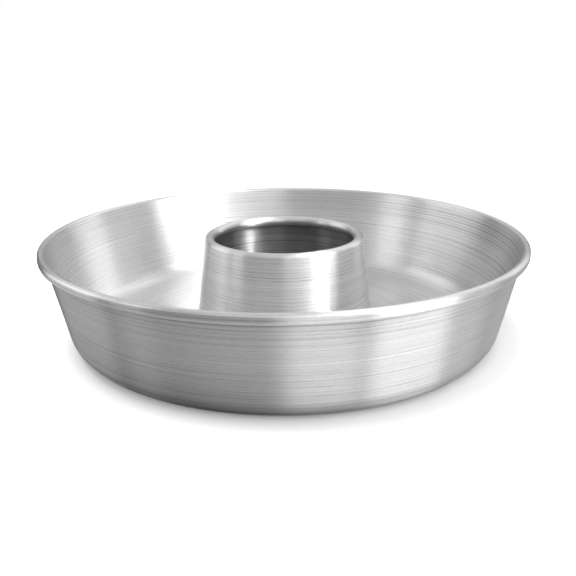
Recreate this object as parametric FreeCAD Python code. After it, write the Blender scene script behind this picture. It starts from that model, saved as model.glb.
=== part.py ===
import FreeCAD, Part
import math
import os

# Ring cake pan spun from aluminium sheet, in millimetres.
# Frame: +Z is up along the axis of revolution, and the origin is the centre of the base, on the
# plane the pan stands on. Every piece is a body of revolution, so each one is drawn as the section
# of its sheet in the half plane Y = 0, X > 0 (radius and height), then turned about Z.
#
# pan_shell    wide tapered bowl: floor with a centre hole, wall, and a rim rolled outwards
# centre_cone  tapered tube that makes the ring: foot flange, lock bead, top edge rolled inwards
# rim_wire     round wire that the rim is rolled over

# Driving dimensions
RIM_DIAMETER = 280.0
PAN_HEIGHT = 58.0
BASE_DIAMETER = 250.4        # where the outside of the wall, drawn straight, meets the ground
CORNER_RADIUS = 13.0         # outside of the bend between floor and wall
SHEET = 1.0

RIM_BEAD_WIDTH = 4.1
RIM_BEAD_HEIGHT = 5.5
RIM_TUCK_DEG = 112.0         # how far the rim turns back under itself after it points down
WIRE_DIAMETER = 1.9
WIRE_BUTT_GAP = 1.0          # opening between the two ends of the wire

CONE_FOOT_DIAMETER = 108.0   # where the outside of the cone, drawn straight, meets the ground
CONE_TOP_DIAMETER = 94.6     # over the rolled top edge
CONE_HEIGHT = 56.6
CONE_BEAD_DIAMETER = 5.7
CONE_CURL_DEG = 300.0

SEAM_GAP = 0.08              # play between the crimped layers
GROUND_GAP = 0.3             # from the foot flange down to the ground
COLLAR_BEND_RADIUS = 1.5     # middle of the sheet, between the floor and its upturned collar
COLLAR_TOP = 8.0             # height where the collar ends
FLANGE_DIAMETER = 126.0
LOCK_BEND_RADIUS = 1.6
LOCK_BEND_DEG = 45.0
STEP_DIAMETER = 140.0        # where the floor steps up to make room for the foot flange
STEP_BEND_RADIUS = 3.0
STEP_BEND_DEG = 25.0

HALF = SHEET / 2


def lean_of_side(foot_radius, bead_radius, bead_height, distance):
    """Angle from vertical, outwards, of a line through (foot_radius, 0) that passes a bead's centre
    at a distance. The distance is positive when the centre lies outside the line."""
    across = bead_radius - foot_radius
    to_centre = math.hypot(across, bead_height)
    return math.degrees(math.atan2(across, bead_height) - math.asin(distance / to_centre))


# Rim bead: the arc over its top is centred at (RIM_ARC_R, RIM_ARC_Z)
RIM_ARC_RADIUS = RIM_BEAD_WIDTH / 2 - HALF
RIM_ARC_R = RIM_DIAMETER / 2 - RIM_BEAD_WIDTH / 2
RIM_ARC_Z = PAN_HEIGHT - RIM_BEAD_WIDTH / 2
RIM_DROP = RIM_BEAD_HEIGHT - RIM_BEAD_WIDTH
WALL_LEAN = lean_of_side(BASE_DIAMETER / 2, RIM_ARC_R, RIM_ARC_Z, RIM_ARC_RADIUS - HALF)

# Cone bead: a full curl centred at (CONE_CURL_R, CONE_CURL_Z)
CONE_CURL_RADIUS = CONE_BEAD_DIAMETER / 2 - HALF
CONE_CURL_R = CONE_TOP_DIAMETER / 2 - CONE_BEAD_DIAMETER / 2
CONE_CURL_Z = CONE_HEIGHT - CONE_BEAD_DIAMETER / 2
CONE_LEAN = -lean_of_side(CONE_FOOT_DIAMETER / 2, CONE_CURL_R, CONE_CURL_Z, -CONE_BEAD_DIAMETER / 2)

# Crimped seam: the collar and the foot flange bend around one centre, (SEAM_R, SEAM_Z)
FLANGE_BEND_RADIUS = COLLAR_BEND_RADIUS + SHEET + SEAM_GAP
SEAM_Z = GROUND_GAP + HALF + FLANGE_BEND_RADIUS
SEAM_R = (CONE_FOOT_DIAMETER / 2 - SEAM_Z * math.tan(math.radians(CONE_LEAN))
          + (FLANGE_BEND_RADIUS - HALF) / math.cos(math.radians(CONE_LEAN)))
SEAM_TURN = 90.0 - CONE_LEAN


class SheetStrip:
    """Section of a strip of sheet, drawn along its middle as straight runs and bends."""

    def __init__(self, radius, height, heading):
        self.point = FreeCAD.Vector(radius, 0, height)
        self.heading = heading
        self.left_side = []
        self.right_side = []
        self.start = self.edge_points()

    def direction(self, turn=0.0):
        """Unit vector along the heading, turned anticlockwise by an angle in degrees."""
        angle = math.radians(self.heading + turn)
        return FreeCAD.Vector(math.cos(angle), 0, math.sin(angle))

    def edge_points(self):
        """The points on the left and the right face of the sheet, beside the present point."""
        across = self.direction(90) * HALF
        return self.point + across, self.point - across

    def run(self, length):
        """Straight stretch."""
        left, right = self.edge_points()
        step = self.direction() * length
        self.point = self.point + step
        self.left_side.append(Part.makeLine(left, left + step))
        self.right_side.append(Part.makeLine(right, right + step))

    def bend(self, radius, turn):
        """Bend of the middle line to a radius. A positive turn goes to the left."""
        side = math.copysign(90.0, turn)
        centre = self.point + self.direction(side) * radius
        before = self.edge_points()
        spoke = self.direction(-side)
        first_heading = self.heading
        self.heading = first_heading + turn / 2
        half_way = self.direction(-side)
        self.heading = first_heading + turn
        self.point = centre + self.direction(-side) * radius
        after = self.edge_points()
        for edges, start, end in zip((self.left_side, self.right_side), before, after):
            reach = (start - centre).dot(spoke)
            arc = Part.Arc(start, centre + half_way * reach, end)
            edges.append(arc.toShape())

    def turned(self, sweep=360.0):
        """The solid that the strip makes when it is turned about Z."""
        left, right = self.edge_points()
        caps = [Part.makeLine(*self.start), Part.makeLine(left, right)]
        outline = Part.__sortEdges__(self.left_side + self.right_side + caps)
        face = Part.Face(Part.Wire(outline))
        return face.revolve(FreeCAD.Vector(), FreeCAD.Vector(0, 0, 1), sweep)


def step_up_distance():
    """Width and height of the pair of bends that raises the floor at its middle."""
    angle = math.radians(STEP_BEND_DEG)
    return 2 * STEP_BEND_RADIUS * math.sin(angle), 2 * STEP_BEND_RADIUS * (1 - math.cos(angle))


def make_pan_shell():
    """Bowl: collar, raised middle of the floor, step, floor, corner, wall and rolled rim."""
    lean = math.radians(WALL_LEAN)
    along_wall = FreeCAD.Vector(math.sin(lean), 0, math.cos(lean))
    out_of_wall = FreeCAD.Vector(math.cos(lean), 0, -math.sin(lean))
    wall_top = FreeCAD.Vector(RIM_ARC_R, 0, RIM_ARC_Z) - out_of_wall * RIM_ARC_RADIUS
    wall_length = (wall_top.z - HALF) / math.cos(lean)
    corner = wall_top - along_wall * wall_length
    corner_turn = 90.0 - WALL_LEAN
    corner_tangent = (CORNER_RADIUS - HALF) * math.tan(math.radians(corner_turn / 2))

    cone_lean = math.radians(CONE_LEAN)
    collar_length = (COLLAR_TOP - SEAM_Z) / math.cos(cone_lean)
    collar_foot_r = SEAM_R - COLLAR_BEND_RADIUS * math.cos(cone_lean)
    collar_foot_z = SEAM_Z - COLLAR_BEND_RADIUS * math.sin(cone_lean)
    strip = SheetStrip(collar_foot_r - collar_length * math.sin(cone_lean),
                       collar_foot_z + collar_length * math.cos(cone_lean), -SEAM_TURN)
    strip.run(collar_length)
    strip.bend(COLLAR_BEND_RADIUS, SEAM_TURN)

    step_width, step_height = step_up_distance()
    slope_length = (strip.point.z - HALF - step_height) / math.sin(math.radians(STEP_BEND_DEG))
    slope_width = slope_length * math.cos(math.radians(STEP_BEND_DEG))
    strip.run(STEP_DIAMETER / 2 - step_width - slope_width - strip.point.x)
    strip.bend(STEP_BEND_RADIUS, -STEP_BEND_DEG)
    strip.run(slope_length)
    strip.bend(STEP_BEND_RADIUS, STEP_BEND_DEG)

    strip.run(corner.x - corner_tangent - strip.point.x)
    strip.bend(CORNER_RADIUS - HALF, corner_turn)
    strip.run(wall_length - corner_tangent)
    strip.bend(RIM_ARC_RADIUS, -(180.0 - WALL_LEAN))
    strip.run(RIM_DROP)
    strip.bend(RIM_ARC_RADIUS, -RIM_TUCK_DEG)
    return strip.turned()


def make_centre_cone():
    """Cone: foot flange under the floor, lock bead above the collar, side and rolled top."""
    cone_lean = math.radians(CONE_LEAN)
    strip = SheetStrip(FLANGE_DIAMETER / 2, GROUND_GAP + HALF, 180.0)
    strip.run(FLANGE_DIAMETER / 2 - SEAM_R)
    strip.bend(FLANGE_BEND_RADIUS, -SEAM_TURN)
    up_to_lock = (COLLAR_TOP + SEAM_GAP - strip.point.z) / math.cos(cone_lean)
    strip.run(up_to_lock)
    strip.bend(LOCK_BEND_RADIUS, -LOCK_BEND_DEG)
    strip.bend(LOCK_BEND_RADIUS, 2 * LOCK_BEND_DEG)
    strip.bend(LOCK_BEND_RADIUS, -LOCK_BEND_DEG)
    side_top = CONE_CURL_Z + CONE_CURL_RADIUS * math.sin(cone_lean)
    strip.run((side_top - strip.point.z) / math.cos(cone_lean))
    strip.bend(CONE_CURL_RADIUS, CONE_CURL_DEG)
    return strip.turned()


def make_rim_wire():
    """Wire ring with butted ends, lying in the middle of the rolled rim."""
    centre = FreeCAD.Vector(RIM_ARC_R, 0, RIM_ARC_Z - RIM_DROP / 2)
    circle = Part.makeCircle(WIRE_DIAMETER / 2, centre, FreeCAD.Vector(0, 1, 0))
    gap_turn = math.degrees(WIRE_BUTT_GAP / RIM_ARC_R)
    wire = Part.Face(Part.Wire(circle)).revolve(FreeCAD.Vector(), FreeCAD.Vector(0, 0, 1), 360.0 - gap_turn)
    wire.rotate(FreeCAD.Vector(), FreeCAD.Vector(0, 0, 1), 90.0 + gap_turn / 2)
    return wire


PIECES = {
    "pan_shell": make_pan_shell,
    "centre_cone": make_centre_cone,
    "rim_wire": make_rim_wire,
}

os.makedirs("parts", exist_ok=True)
for name, make_piece in PIECES.items():
    make_piece().exportStep(os.path.join("parts", name + ".step"))
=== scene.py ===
import math
import random
from collections import namedtuple

import bpy
import numpy as np
from mathutils import Matrix, Vector


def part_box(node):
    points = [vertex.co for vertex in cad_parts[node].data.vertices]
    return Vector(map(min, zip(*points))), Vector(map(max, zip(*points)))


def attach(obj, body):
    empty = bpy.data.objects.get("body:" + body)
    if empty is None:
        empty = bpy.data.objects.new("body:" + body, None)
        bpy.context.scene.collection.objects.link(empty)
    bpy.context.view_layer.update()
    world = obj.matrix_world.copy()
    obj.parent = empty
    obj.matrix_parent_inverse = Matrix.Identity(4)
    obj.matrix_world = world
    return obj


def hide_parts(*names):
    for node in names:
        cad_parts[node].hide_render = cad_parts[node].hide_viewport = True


# Ring cake pan of spun aluminium. Lengths are in metres. Both spun pieces are drawn as the section of
# their sheet in the half plane Y = 0, X > 0, then turned about Z, with the rings that the spinning
# tool leaves in both faces of the sheet. Azimuths are in degrees about Z: 0 is on the camera's side
# and 90 on the right.

MM = 0.001
SHEET = 1.0 * MM
HALF = SHEET / 2

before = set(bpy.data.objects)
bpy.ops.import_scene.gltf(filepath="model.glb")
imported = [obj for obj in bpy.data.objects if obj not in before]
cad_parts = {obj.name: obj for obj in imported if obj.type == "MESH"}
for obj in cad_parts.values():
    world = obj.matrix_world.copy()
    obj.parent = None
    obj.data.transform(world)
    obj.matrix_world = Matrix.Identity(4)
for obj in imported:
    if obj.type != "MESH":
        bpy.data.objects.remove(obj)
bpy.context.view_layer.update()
SHELL_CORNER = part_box("pan_shell")[1]
CONE_LOW, CONE_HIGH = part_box("centre_cone")

# Sizes read from the frame
RIM_RADIUS = SHELL_CORNER.x
PAN_HEIGHT = SHELL_CORNER.z
FLANGE_RADIUS = CONE_HIGH.x
CONE_HEIGHT = CONE_HIGH.z
GROUND_GAP = CONE_LOW.z

# Sizes of the section, as in the CAD model
BASE_RADIUS = 125.2 * MM
CORNER_RADIUS = 13.0 * MM
RIM_BEAD_WIDTH = 4.1 * MM
RIM_BEAD_HEIGHT = 5.5 * MM
RIM_TUCK_DEG = 112.0
CONE_FOOT_RADIUS = 54.0 * MM
CONE_TOP_RADIUS = 47.3 * MM
CONE_BEAD_DIAMETER = 5.7 * MM
CONE_CURL_DEG = 300.0
SEAM_GAP = 0.08 * MM
COLLAR_BEND_RADIUS = 1.5 * MM
COLLAR_TOP = 8.0 * MM
LOCK_BEND_RADIUS = 1.6 * MM
LOCK_BEND_DEG = 45.0
STEP_RADIUS = 70.0 * MM
STEP_BEND_RADIUS = 3.0 * MM
STEP_BEND_DEG = 25.0


def lean_of_side(foot_radius, bead_radius, bead_height, distance):
    """Angle from vertical, outwards, of a line through (foot_radius, 0) that passes a bead's centre
    at a distance. The distance is positive when the centre lies outside the line."""
    across = bead_radius - foot_radius
    to_centre = math.hypot(across, bead_height)
    return math.atan2(across, bead_height) - math.asin(distance / to_centre)


RIM_ARC_RADIUS = RIM_BEAD_WIDTH / 2 - HALF
RIM_ARC_R = RIM_RADIUS - RIM_BEAD_WIDTH / 2
RIM_ARC_Z = PAN_HEIGHT - RIM_BEAD_WIDTH / 2
RIM_DROP = RIM_BEAD_HEIGHT - RIM_BEAD_WIDTH
WALL_LEAN = lean_of_side(BASE_RADIUS, RIM_ARC_R, RIM_ARC_Z, RIM_ARC_RADIUS - HALF)

CONE_CURL_RADIUS = CONE_BEAD_DIAMETER / 2 - HALF
CONE_CURL_R = CONE_TOP_RADIUS - CONE_BEAD_DIAMETER / 2
CONE_CURL_Z = CONE_HEIGHT - CONE_BEAD_DIAMETER / 2
CONE_LEAN = -lean_of_side(CONE_FOOT_RADIUS, CONE_CURL_R, CONE_CURL_Z, -CONE_BEAD_DIAMETER / 2)

FLANGE_BEND_RADIUS = COLLAR_BEND_RADIUS + SHEET + SEAM_GAP
SEAM_Z = GROUND_GAP + HALF + FLANGE_BEND_RADIUS
SEAM_R = (CONE_FOOT_RADIUS - SEAM_Z * math.tan(CONE_LEAN)
          + (FLANGE_BEND_RADIUS - HALF) / math.cos(CONE_LEAN))
SEAM_TURN = 90.0 - math.degrees(CONE_LEAN)

# Fineness of the meshes: points around the axis, and steps between the points of a section
SEGMENTS = 144
FLOOR_STEP = 0.4 * MM
WALL_STEP = 0.35 * MM
SIDE_STEP = 0.3 * MM         # side of the cone and outside of its bead
CURL_STEP = 0.25 * MM
BEAD_STEP = 0.2 * MM
UNDERSIDE_STEP = 1.0 * MM

# Depths of the rings that the tool leaves
FAINT = 0.015 * MM
LIGHT = 0.02 * MM
CLEAR = 0.03 * MM
DEEP = 0.06 * MM
DARK_DEPTH = 0.05 * MM       # a ring of this depth gets the full darkening of the metal's tone: painted shade in the groove, partly dirt
RIGHT_FACE = 1.0             # added to places on the right face, so that its rings are others

# One ring: place along the strip, half width, depth, angle from +X where it is deepest, and how far it
# reaches from there. Both angles are in radians.
Mark = namedtuple("Mark", "place half_width depth angle reach")


class SheetStrip:
    """Section of a strip of sheet, drawn along its middle as straight runs and bends. The left and
    the right face are sampled on their own, so each can be as fine as its tool marks need."""

    def __init__(self, radius, height, heading, step):
        self.point = np.array([radius, height])
        self.heading = math.radians(heading)
        self.length = 0.0
        self.step = step
        self.left_face = []
        self.right_face = []

    def across(self, heading):
        """Unit vector to the left of a heading."""
        return np.array([-math.sin(heading), math.cos(heading)])

    def add(self, face, point, heading, along):
        """One point of a face: radius, height, outward normal and distance along the strip."""
        normal = self.across(heading)
        if face is self.right_face:
            normal = -normal
        face.append((*(point + normal * HALF), *normal, along))

    def run(self, length, left=None, right=None):
        """Straight stretch. left and right are the steps between points on the two faces."""
        direction = np.array([math.cos(self.heading), math.sin(self.heading)])
        for face, step in ((self.left_face, left), (self.right_face, right)):
            count = max(1, math.ceil(length / (step or self.step)))
            for part in np.arange(count) / count:
                self.add(face, self.point + direction * length * part, self.heading,
                         self.length + length * part)
        self.point = self.point + direction * length
        self.length += length

    def bend(self, radius, turn, left=None, right=None):
        """Bend of the middle line to a radius. A positive turn, in degrees, goes to the left."""
        angle = math.radians(turn)
        to_centre = math.copysign(radius, angle)
        centre = self.point + self.across(self.heading) * to_centre
        length = radius * abs(angle)
        for face, step in ((self.left_face, left), (self.right_face, right)):
            count = max(2, math.ceil(length / (step or self.step)))
            for part in np.arange(count) / count:
                heading = self.heading + angle * part
                self.add(face, centre - self.across(heading) * to_centre, heading,
                         self.length + length * part)
        self.heading += angle
        self.point = centre - self.across(self.heading) * to_centre
        self.length += length

    def close(self):
        """Ends both faces at the present point."""
        for face in (self.left_face, self.right_face):
            self.add(face, self.point, self.heading, self.length)


def turning_marks(rng, start, end, pitch, depth):
    """Shallow rings between two places on a face, mostly faint, at uneven distances of about a pitch."""
    half_widths = (0.18 * pitch, 0.34 * pitch)
    gaps = (0.5 * pitch, 1.7 * pitch)
    reaches = (0.5, 2.0)
    least_strength = 0.25
    marks = []
    place = start
    while place < end:
        strength = least_strength + rng.random() ** 2
        marks.append(Mark(place, rng.uniform(*half_widths), depth * strength,
                          rng.uniform(0, 2 * math.pi), rng.uniform(*reaches)))
        place += rng.uniform(*gaps)
    return marks


def groove(place, depth, azimuth, reach, half_width=0.35 * MM):
    """One deeper ring. Its azimuth and reach are in degrees."""
    return Mark(place, half_width, depth, math.radians(azimuth - 90), math.radians(reach))


def depth_of_marks(along, angles, marks):
    """Depth below the smooth face, one row for each place and one column for each angle."""
    least_shape = 1e-3
    total = np.zeros((len(along), len(angles)))
    for mark in marks:
        shape = np.exp(-((along - mark.place) / mark.half_width) ** 2)
        near = shape > least_shape
        fade = np.exp((np.cos(angles - mark.angle) - 1) / mark.reach ** 2)
        total[near] += np.outer(shape[near] * mark.depth, fade)
    return total


def turned_face(face, marks):
    """Points of a face turned about Z with its marks cut in, one row for each place, and their depth."""
    angles = np.arange(SEGMENTS) * 2 * math.pi / SEGMENTS
    radius, height, normal_r, normal_z, along = face.T
    depth = depth_of_marks(along, angles, marks)
    r = radius[:, None] - normal_r[:, None] * depth
    z = height[:, None] - normal_z[:, None] * depth
    return np.stack([r * np.cos(angles), r * np.sin(angles), z], axis=-1), depth


def quads_between_rings(count):
    """Faces that join each ring of points to the next one, and the last ring to the first."""
    row = np.arange(count)[:, None] * SEGMENTS
    next_row = np.roll(row, -1, axis=0)
    column = np.arange(SEGMENTS)[None, :]
    next_column = np.roll(column, -1, axis=1)
    corners = [row + column, next_row + column, next_row + next_column, row + next_column]
    return np.stack(corners, axis=-1).reshape(-1, 4)


def sharpen_rings(mesh, rings):
    """Marks the edges along some rings of points as sharp."""
    for edge in mesh.edges:
        first, second = edge.vertices
        ring = first // SEGMENTS
        if ring in rings and second // SEGMENTS == ring:
            edge.use_edge_sharp = True


def add_to_scene(name, data):
    """New object for a mesh, a lamp or a camera."""
    thing = bpy.data.objects.new(name, data)
    bpy.context.scene.collection.objects.link(thing)
    return thing


def lathe(name, strip, left_marks, right_marks, dull_and_shade_up_to=0.0):
    """Piece that a strip makes when it is turned about Z. Up to a place along the strip, the left face is
    rougher and darkened as painted shade. The points tell the material their place, their depth and that
    stretch."""
    left = np.array(strip.left_face)
    right = np.array(strip.right_face)[::-1]
    left_points, left_depth = turned_face(left, left_marks)
    right_points, right_depth = turned_face(right, right_marks)
    along = np.concatenate([left[:, -1], right[:, -1] + RIGHT_FACE])
    values = {
        "along": np.repeat(along, SEGMENTS),
        "mark": np.concatenate([left_depth, right_depth]).ravel() / DARK_DEPTH,
        "dull_and_shade": np.repeat(along < dull_and_shade_up_to, SEGMENTS),
    }
    points = np.concatenate([left_points, right_points]).reshape(-1, 3)
    mesh = bpy.data.meshes.new(name)
    mesh.from_pydata(points.tolist(), [], quads_between_rings(len(along)).tolist())
    for layer, numbers in values.items():
        attribute = mesh.attributes.new(layer, "FLOAT", "POINT")
        attribute.data.foreach_set("value", numbers.astype(np.float32))
    mesh.shade_smooth()
    mesh.update()
    sharpen_rings(mesh, {0, len(left) - 1, len(left), len(along) - 1})
    return add_to_scene(name, mesh)


def draw_shell():
    """Strip of the bowl: collar, raised middle of the floor, step, floor, corner, wall and rim. Also
    gives the places along it where the floor, drawn on, would meet the axis and the wall's foot."""
    along_wall = np.array([math.sin(WALL_LEAN), math.cos(WALL_LEAN)])
    out_of_wall = np.array([math.cos(WALL_LEAN), -math.sin(WALL_LEAN)])
    wall_top = np.array([RIM_ARC_R, RIM_ARC_Z]) - out_of_wall * RIM_ARC_RADIUS
    wall_length = (wall_top[1] - HALF) / math.cos(WALL_LEAN)
    wall_foot = wall_top - along_wall * wall_length
    corner_turn = 90.0 - math.degrees(WALL_LEAN)
    corner_tangent = (CORNER_RADIUS - HALF) * math.tan(math.radians(corner_turn / 2))

    up_collar = np.array([-math.sin(CONE_LEAN), math.cos(CONE_LEAN)])
    collar_length = (COLLAR_TOP - SEAM_Z) / math.cos(CONE_LEAN)
    collar_foot = np.array([SEAM_R - COLLAR_BEND_RADIUS * math.cos(CONE_LEAN),
                            SEAM_Z - COLLAR_BEND_RADIUS * math.sin(CONE_LEAN)])
    strip = SheetStrip(*(collar_foot + collar_length * up_collar), -SEAM_TURN, FLOOR_STEP)
    strip.run(collar_length, right=UNDERSIDE_STEP)
    strip.bend(COLLAR_BEND_RADIUS, SEAM_TURN, left=CURL_STEP)

    slope = math.radians(STEP_BEND_DEG)
    bends_height = 2 * STEP_BEND_RADIUS * (1 - math.cos(slope))
    slope_length = (strip.point[1] - HALF - bends_height) / math.sin(slope)
    step_width = 2 * STEP_BEND_RADIUS * math.sin(slope) + slope_length * math.cos(slope)
    strip.run(STEP_RADIUS - step_width - strip.point[0], right=UNDERSIDE_STEP)
    strip.bend(STEP_BEND_RADIUS, -STEP_BEND_DEG)
    strip.run(slope_length)
    strip.bend(STEP_BEND_RADIUS, STEP_BEND_DEG)

    strip.run(wall_foot[0] - corner_tangent - strip.point[0], right=UNDERSIDE_STEP)
    axis_place = strip.length - strip.point[0]
    strip.bend(CORNER_RADIUS - HALF, corner_turn)
    foot_place = strip.length - corner_tangent
    strip.run(wall_length - corner_tangent, left=WALL_STEP, right=WALL_STEP)
    strip.bend(RIM_ARC_RADIUS, -(180.0 - math.degrees(WALL_LEAN)), left=BEAD_STEP)
    strip.run(RIM_DROP, left=BEAD_STEP)
    strip.bend(RIM_ARC_RADIUS, -RIM_TUCK_DEG, left=BEAD_STEP)
    strip.close()
    return strip, axis_place, foot_place


def make_pan_shell():
    strip, axis_place, foot_place = draw_shell()

    def on_wall(height):
        """Place along the strip of a height on the wall, in millimetres."""
        return foot_place + (height * MM - HALF) / math.cos(WALL_LEAN)

    rng = random.Random(11)
    pitch = 1.9
    inside = turning_marks(rng, 10 * MM, on_wall(54), pitch * MM, FAINT)
    for number in range(7):
        depth = DEEP if number % 2 else CLEAR
        inside.append(groove(on_wall(53.3 - pitch * number), depth, 100, 40))
    low_grooves = ((35, 90), (31, 100), (24.5, 105), (22, 100), (13, 108), (10.5, 110), (8.5, 108))
    for height, azimuth in low_grooves:
        inside.append(groove(on_wall(height), CLEAR, azimuth, 25))
    for radius in (97, 90, 77):
        inside.append(groove(axis_place + radius * MM, CLEAR, 118, 30))
    outside = turning_marks(rng, 70 * MM, on_wall(51), pitch * MM, FAINT)
    # Deep ring under the rolled rim; the darkening of the tone that its depth brings is a painted shadow
    # under the roll.
    outside.append(groove(on_wall(51.4), DEEP, 0, 90))
    for height, azimuth in ((49, -30), (45, 10), (41.5, -10), (26, -48), (13.5, -50), (10, 20)):
        outside.append(groove(on_wall(height), CLEAR, azimuth, 35))
    return lathe("pan_shell_spun", strip, inside, outside)


def draw_cone():
    """Strip of the cone: foot flange, lock bead above the collar, side and rolled top. Also gives the
    place along it where the side, drawn on, would start at the ground."""
    strip = SheetStrip(FLANGE_RADIUS, GROUND_GAP + HALF, 180.0, FLOOR_STEP)
    strip.run(FLANGE_RADIUS - SEAM_R)
    strip.bend(FLANGE_BEND_RADIUS, -SEAM_TURN)
    strip.run((COLLAR_TOP + SEAM_GAP - strip.point[1]) / math.cos(CONE_LEAN))
    for turn in (-LOCK_BEND_DEG, 2 * LOCK_BEND_DEG, -LOCK_BEND_DEG):
        strip.bend(LOCK_BEND_RADIUS, turn, right=BEAD_STEP)
    side_top = CONE_CURL_Z + CONE_CURL_RADIUS * math.sin(CONE_LEAN)
    ground_place = strip.length - strip.point[1] / math.cos(CONE_LEAN)
    strip.run((side_top - strip.point[1]) / math.cos(CONE_LEAN), left=SIDE_STEP, right=SIDE_STEP)
    strip.bend(CONE_CURL_RADIUS, CONE_CURL_DEG, left=SIDE_STEP, right=CURL_STEP)
    strip.close()
    return strip, ground_place


def make_centre_cone():
    strip, ground_place = draw_cone()

    def on_side(height):
        """Place along the strip of a height on the side, in millimetres."""
        return ground_place + height * MM / math.cos(CONE_LEAN)

    rng = random.Random(23)
    inside = turning_marks(rng, on_side(10), on_side(50), 1.9 * MM, CLEAR)
    # Deep ring under the curl of the bead; the darkening of the tone that its depth brings is a painted
    # shadow under the curl.
    inside.append(groove(on_side(51), DEEP, 180, 120, 0.5 * MM))
    outside = turning_marks(rng, on_side(10), on_side(52), 1.6 * MM, FAINT)
    for height, azimuth in ((46.5, -20), (43.5, -5), (30.3, -5), (28, 0), (26, 5)):
        outside.append(groove(on_side(height), LIGHT, azimuth, 30))
    # The inside of the tube, up to its bead, gets painted shade and a rougher finish.
    return lathe("centre_cone_spun", strip, inside, outside, dull_and_shade_up_to=on_side(CONE_CURL_Z / MM))


class Nodes:
    """Short way to build the node tree of a material or a world."""

    def __init__(self, owner):
        owner.use_nodes = True
        self.tree = owner.node_tree
        self.tree.nodes.clear()

    def add(self, kind, inputs=None, **settings):
        node = self.tree.nodes.new(kind)
        for key, value in settings.items():
            setattr(node, key, value)
        for key, value in (inputs or {}).items():
            if isinstance(value, bpy.types.NodeSocket):
                self.tree.links.new(value, node.inputs[key])
            else:
                node.inputs[key].default_value = value
        return node

    def math(self, operation, first, second=0.0, third=0.0):
        node = self.add("ShaderNodeMath", {0: first, 1: second, 2: third}, operation=operation)
        return node.outputs[0]

    def vector(self, operation, first, second=(0, 0, 0)):
        return self.add("ShaderNodeVectorMath", {0: first, 1: second}, operation=operation)

    def total(self, start, *terms):
        """Start value plus each term's value times its weight."""
        for value, weight in terms:
            start = self.math("MULTIPLY_ADD", value, weight, start)
        return start

    def ramp(self, value, low, high, start=0.0, end=1.0, shape="LINEAR"):
        """Carries low..high over to start..end, and holds the value outside that range."""
        node = self.add("ShaderNodeMapRange", {
            "Value": value, "From Min": low, "From Max": high, "To Min": start, "To Max": end,
        }, interpolation_type=shape)
        return node.outputs[0]

    def noise(self, inputs, dimensions="3D"):
        """Noise about 0."""
        node = self.add("ShaderNodeTexNoise", {"Scale": 1.0, **inputs}, noise_dimensions=dimensions)
        return self.math("SUBTRACT", node.outputs["Fac"], 0.5)

    def mix_colours(self, factor, first, second):
        return self.add("ShaderNodeMix", {0: factor, 6: first, 7: second}, data_type="RGBA").outputs[2]

    def mix_shaders(self, factor, first, second):
        inputs = {0: factor, 1: first.outputs[0], 2: second.outputs[0]}
        return self.add("ShaderNodeMixShader", inputs)

    def finish(self, surface, kind="ShaderNodeOutputMaterial"):
        self.add(kind, {"Surface": surface.outputs[0]})


def around_axis(nodes):
    """Place on the piece, and its turn: cosine and sine of the angle about Z, which have no seam."""
    place = nodes.add("ShaderNodeTexCoord").outputs["Object"]
    flat = nodes.vector("MULTIPLY", place, (1.0, 1.0, 0.0))
    unit = nodes.vector("NORMALIZE", flat.outputs[0])
    split = nodes.add("ShaderNodeSeparateXYZ", {0: unit.outputs[0]})
    return place, split.outputs[:2]


def ring_noise(nodes, along, turn, lines_per_metre, breaks, detail=2.0):
    """Noise drawn out into rings. breaks says how often a ring changes on its way round."""
    across = nodes.math("MULTIPLY", along, lines_per_metre)
    round_x, round_y = [nodes.math("MULTIPLY", part, breaks) for part in turn]
    vector = nodes.add("ShaderNodeCombineXYZ", {0: across, 1: round_x, 2: round_y})
    return nodes.noise({"Vector": vector.outputs[0], "Detail": detail, "Roughness": 0.55})


def ring_lines(nodes, along, lines_per_metre, detail=1.0):
    """Noise that is the same all the way round, so it makes unbroken circles."""
    place = nodes.math("MULTIPLY", along, lines_per_metre)
    return nodes.noise({"W": place, "Detail": detail, "Roughness": 0.55}, dimensions="1D")


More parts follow.
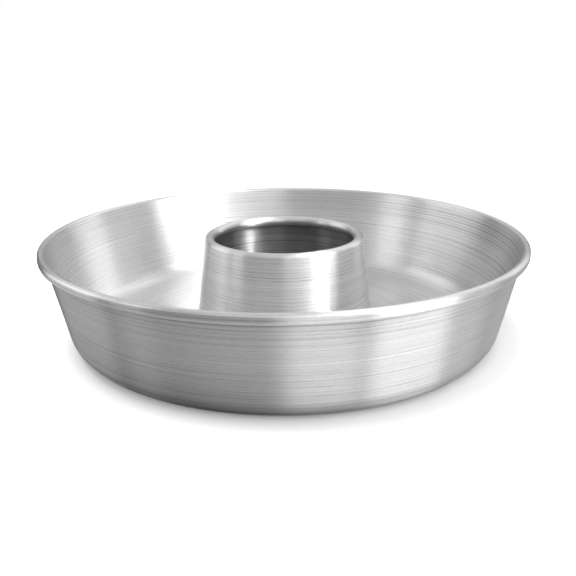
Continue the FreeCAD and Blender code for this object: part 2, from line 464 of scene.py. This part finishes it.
def spun_aluminium(name):
    """Aluminium with rings from the tool: highlight drawn out across them, lines and patchy tone."""
    tint = (0.82, 0.817, 0.822)
    roughness = 0.33
    material = bpy.data.materials.new(name)
    nodes = Nodes(material)
    place, turn = around_axis(nodes)
    along, mark, dull_and_shade = [nodes.add("ShaderNodeAttribute", attribute_name=layer).outputs["Fac"]
                         for layer in ("along", "mark", "dull_and_shade")]
    hairlines = ring_lines(nodes, along, lines_per_metre=2100.0)
    rings = ring_lines(nodes, along, lines_per_metre=900.0)
    cuts = ring_lines(nodes, along, lines_per_metre=1300.0, detail=0.0)
    grain = ring_noise(nodes, along, turn, lines_per_metre=1600.0, breaks=60.0)
    gaps = ring_noise(nodes, along, turn, lines_per_metre=350.0, breaks=5.0, detail=1.0)
    bands = ring_noise(nodes, along, turn, lines_per_metre=110.0, breaks=2.0)
    patches = nodes.noise({"Vector": place, "Scale": 22.0, "Detail": 3.0, "Roughness": 0.6})
    dents = nodes.noise({"Vector": place, "Scale": 90.0, "Detail": 1.0})

    fade = nodes.ramp(gaps, -0.12, 0.15, start=0.25)
    worn_cuts = nodes.math("MULTIPLY", nodes.ramp(cuts, 0.08, 0.25), nodes.ramp(patches, -0.08, 0.12))
    lines = nodes.total(0.0, (hairlines, 0.7), (rings, 0.5), (worn_cuts, -0.28))
    # Tone: random lines, grain, bands and patches; the depth of the rings (mark) darkens it, partly as
    # painted shade in the grooves and partly as dirt in them.
    tone = nodes.total(1.0, (lines, fade), (grain, 0.25), (bands, 0.08), (patches, 0.12), (mark, -0.40))
    # Painted shade: the inside of the tube is darkened for the shade that falls in it; the same stretch is
    # also made rougher.
    tone = nodes.math("MULTIPLY", tone, nodes.total(1.0, (dull_and_shade, -0.55)))
    colour = nodes.add("ShaderNodeVectorMath", {0: tint, 3: tone}, operation="SCALE")

    relief = nodes.total(0.0, (rings, 0.02 * MM), (dents, 0.06 * MM))
    bump = nodes.add("ShaderNodeBump", {"Strength": 1.0, "Distance": 1.0, "Height": relief})
    tangent = nodes.add("ShaderNodeTangent", direction_type="RADIAL", axis="Z")
    quarter_turn = 0.25
    surface = nodes.add("ShaderNodeBsdfPrincipled", {
        "Base Color": colour.outputs[0],
        "Metallic": 1.0,
        "Roughness": nodes.total(roughness, (rings, 0.10), (dull_and_shade, 0.12)),
        "Anisotropic": 1.0,
        "Anisotropic Rotation": quarter_turn,
        "Normal": bump.outputs[0],
        "Tangent": tangent.outputs[0],
    })
    nodes.finish(surface)
    return material


def wire_steel():
    """Bright drawn wire with fine marks along its length."""
    dark = (0.42, 0.42, 0.43, 1)
    bright = (0.62, 0.62, 0.63, 1)
    material = bpy.data.materials.new("wire_steel")
    nodes = Nodes(material)
    place, turn = around_axis(nodes)
    height = nodes.add("ShaderNodeSeparateXYZ", {0: place}).outputs[2]
    lines = ring_noise(nodes, height, turn, lines_per_metre=6000.0, breaks=5.0)
    surface = nodes.add("ShaderNodeBsdfPrincipled", {
        "Base Color": nodes.mix_colours(lines, dark, bright),
        "Metallic": 1.0,
        "Roughness": nodes.total(0.22, (lines, 0.2)),
    })
    nodes.finish(surface)
    return material


# Floor. Reflections in the metal see it only close to the pan, and dark grey there: painted shade for
# the floor in the pan's shade. Farther out they pass it and see the light panels.
FLOOR_REACH = 3.0
FLOOR_WHITE = (0.9, 0.9, 0.9, 1)
SHADED_FLOOR_GREY = (0.06, 0.06, 0.06, 1)
SHADED_FLOOR_RADIUS = 135 * MM
SHADED_FLOOR_EDGE = 15 * MM         # half of the width over which the painted shade fades out
SHADED_FLOOR_CENTRE = (-10 * MM, 0, 0)
CONTACT_GAP = 5 * MM         # reflections shorter than this, under the flat base, pass the floor
SWEEP_START = 0.25           # radius from which the paper turns into an evenly white sweep
SWEEP_END = 0.5


def floor_white():
    """White paper for the camera, dark grey painted shade near the pan for reflections, and nothing when
    seen from below.
    """
    material = bpy.data.materials.new("floor_white")
    nodes = Nodes(material)
    place = nodes.add("ShaderNodeTexCoord").outputs["Object"]
    radius = nodes.vector("LENGTH", place).outputs["Value"]
    from_shaded_floor = nodes.vector("DISTANCE", place, SHADED_FLOOR_CENTRE).outputs["Value"]
    path = nodes.add("ShaderNodeLightPath")
    reflected = path.outputs["Is Glossy Ray"]

    beyond_shaded_floor = nodes.ramp(from_shaded_floor, SHADED_FLOOR_RADIUS - SHADED_FLOOR_EDGE, SHADED_FLOOR_RADIUS + SHADED_FLOOR_EDGE,
                              shape="SMOOTHSTEP")
    in_contact = nodes.math("LESS_THAN", path.outputs["Ray Length"], CONTACT_GAP)
    below_base = nodes.math("LESS_THAN", radius, BASE_RADIUS - CORNER_RADIUS)
    no_shaded_floor = nodes.math("MAXIMUM", beyond_shaded_floor, nodes.math("MULTIPLY", in_contact, below_base))
    from_below = nodes.add("ShaderNodeNewGeometry").outputs["Backfacing"]
    hidden = nodes.math("MAXIMUM", nodes.math("MULTIPLY", reflected, no_shaded_floor), from_below)

    # Painted shade: reflections see the floor near the pan dark grey, for the shade round and under it.
    grey = nodes.mix_colours(reflected, FLOOR_WHITE, SHADED_FLOOR_GREY)
    paper = nodes.add("ShaderNodeBsdfDiffuse", {"Color": grey})
    sweep = nodes.add("ShaderNodeEmission", {"Color": (1, 1, 1, 1), "Strength": 1.0})
    lit = nodes.mix_shaders(nodes.ramp(radius, SWEEP_START, SWEEP_END), paper, sweep)
    nodes.finish(nodes.mix_shaders(hidden, lit, nodes.add("ShaderNodeBsdfTransparent")))
    return material


def make_floor():
    """Plain white floor, wide enough to fill every view."""
    corners = [(x * FLOOR_REACH, y * FLOOR_REACH, 0) for x, y in ((-1, -1), (1, -1), (1, 1), (-1, 1))]
    mesh = bpy.data.meshes.new("floor")
    mesh.from_pydata(corners, [], [(0, 1, 2, 3)])
    mesh.materials.append(floor_white())
    add_to_scene("floor", mesh)


# Soft light panels round the pan: azimuth and elevation of the middle, half width, half height, and
# half of the width over which the edges fade, all in degrees
Panel = namedtuple("Panel", "azimuth elevation half_width half_height brightness edge")
PANELS = {
    "key": Panel(59, 27, 19, 45, 2.8, 5),
    "key_top": Panel(58, 66, 16, 16, 3.0, 4),
    "front_fill": Panel(18, 0, 18, 50, 0.68, 9),
    "left": Panel(253, 14, 21, 26, 0.9, 5),
    "left_strip": Panel(290, 18, 8, 24, 0.75, 4),
    "right_mid": Panel(94, 5, 13, 35, 0.3, 4),
    "right_low": Panel(112, -35, 34, 40, 0.25, 4),
    "right_back": Panel(130, 28, 14, 26, 0.85, 4),
    "back": Panel(178, 34, 34, 26, 0.32, 4),
    "front_high": Panel(0, 50, 45, 15, 0.3, 4),
}
HORIZON_LEVEL = 0.15         # surroundings at eye level, seen by the metal
SKY_LEVEL = 0.52             # added above, in full from SKY_TOP upwards
SKY_TOP = math.radians(50)
GROUND_LEVEL = 0.7           # added below, from GROUND_START down to GROUND_END
GROUND_START = math.radians(-10)
GROUND_END = math.radians(-80)


def soft_band(nodes, offset, half_width, edge):
    """1 where an angle is within half_width of 0, fading to 0 outside it. The widths are in degrees."""
    outer = math.radians(half_width + edge)
    inner = math.radians(half_width - edge)
    return nodes.ramp(nodes.math("ABSOLUTE", offset), outer, inner, shape="SMOOTHSTEP")


def panel_cover(nodes, azimuth, elevation, panel):
    """1 inside a panel and 0 outside it."""
    aside = nodes.math("SUBTRACT", azimuth, math.radians(panel.azimuth))
    aside = nodes.math("WRAP", aside, math.pi, -math.pi)
    above = nodes.math("SUBTRACT", elevation, math.radians(panel.elevation))
    return nodes.math("MULTIPLY", soft_band(nodes, aside, panel.half_width, panel.edge),
                      soft_band(nodes, above, panel.half_height, panel.edge))


def make_studio():
    """Grey surroundings with the soft panels in them, seen by the metal only. The camera sees plain
    white behind the pan."""
    world = bpy.data.worlds.new("studio")
    bpy.context.scene.world = world
    nodes = Nodes(world)
    direction = nodes.add("ShaderNodeTexCoord").outputs["Generated"]
    x, y, z = nodes.add("ShaderNodeSeparateXYZ", {0: direction}).outputs
    azimuth = nodes.math("ARCTAN2", x, nodes.math("MULTIPLY", y, -1.0))
    elevation = nodes.math("ARCSINE", z)
    sky = nodes.ramp(elevation, 0.0, SKY_TOP, end=SKY_LEVEL, shape="SMOOTHSTEP")
    ground = nodes.ramp(elevation, GROUND_START, GROUND_END, end=GROUND_LEVEL, shape="SMOOTHSTEP")
    level = nodes.math("ADD", nodes.math("ADD", sky, ground), HORIZON_LEVEL)
    for panel in PANELS.values():
        level = nodes.total(level, (panel_cover(nodes, azimuth, elevation, panel), panel.brightness))
    camera_ray = nodes.add("ShaderNodeLightPath").outputs["Is Camera Ray"]
    seen = nodes.add("ShaderNodeMix", {0: camera_ray, 2: level, 3: 1.0}).outputs[0]
    background = nodes.add("ShaderNodeBackground", {"Color": (1, 1, 1, 1), "Strength": seen})
    nodes.finish(background, "ShaderNodeOutputWorld")
    world.cycles_visibility.diffuse = False


def add_lamp(name, light, place, aim=Vector((0, 0, 0))):
    """Lamp at a place that shines towards another."""
    lamp = add_to_scene(name, light)
    lamp.location = place
    lamp.rotation_euler = (place - aim).to_track_quat("Z", "Y").to_euler()
    lamp.visible_camera = False
    return lamp


def make_floor_light(name, brightness, radius, place):
    """Round soft light above the floor that faces the pan and does not show in the metal."""
    light = bpy.data.lights.new(name, "AREA")
    light.shape = "DISK"
    light.size = 2 * radius
    light.energy = brightness * math.pi * (math.pi * radius ** 2)
    add_lamp(name, light, place).visible_glossy = False


def direction_to(azimuth, elevation):
    """Unit vector towards an azimuth and an elevation, both in degrees."""
    turn = math.radians(azimuth)
    rise = math.radians(elevation)
    return Vector((math.sin(turn) * math.cos(rise), -math.cos(turn) * math.cos(rise), math.sin(rise)))


def make_tube_light(cone):
    """Spot lamp in front of the key panel that reaches down into the tube. It lights the cone only."""
    tube_radius = 38 * MM
    aim_height = 48 * MM
    distance = 0.6
    aim = tube_radius * direction_to(211, 0) + Vector((0, 0, aim_height))
    light = bpy.data.lights.new("tube_light", "SPOT")
    light.energy = 950.0
    light.shadow_soft_size = 0.32
    light.spot_size = math.radians(7.0)
    light.spot_blend = 0.6
    lamp = add_lamp("tube_light", light, aim + distance * direction_to(57, 32), aim)
    lamp.visible_diffuse = False
    receivers = bpy.data.collections.new("lit_by_tube_light")
    receivers.objects.link(cone)
    lamp.light_linking.receiver_collection = receivers


def make_camera():
    """Camera at the height and distance that show the pan as a shop picture does."""
    target = Vector((2.1 * MM, 0, 22.0 * MM))
    distance = 423.8 * MM
    towards = direction_to(0, 18.76)
    roll = math.radians(0.50)
    camera = bpy.data.cameras.new("camera")
    camera.lens = 43.19
    camera.sensor_width = 36.0
    camera.clip_start = 0.01
    viewer = add_to_scene("camera", camera)
    rotation = towards.to_track_quat("Z", "Y").to_matrix().to_4x4() @ Matrix.Rotation(-roll, 4, "Z")
    viewer.matrix_world = Matrix.Translation(target + towards * distance) @ rotation
    bpy.context.scene.camera = viewer


shell = make_pan_shell()
cone = make_centre_cone()
for piece, node, slot in ((shell, "pan_shell", "spun_aluminium"), (cone, "centre_cone", "cone_aluminium")):
    piece.data.materials.append(spun_aluminium(slot))
    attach(piece, "root")
    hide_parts(node)

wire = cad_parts["rim_wire"]
wire.data.materials.clear()
wire.data.materials.append(wire_steel())

make_floor()
make_studio()
make_floor_light("sky", brightness=1.1, radius=3.0, place=Vector((0, 0, 1.0)))
make_floor_light("overhead", brightness=9.5, radius=0.35, place=Vector((-0.14, 0, 0.9)))
make_floor_light("front", brightness=6.0, radius=0.3, place=Vector((-0.1, -1.0, 0.45)))
make_tube_light(cone)
make_camera()
bpy.context.scene.view_settings.view_transform = "Standard"
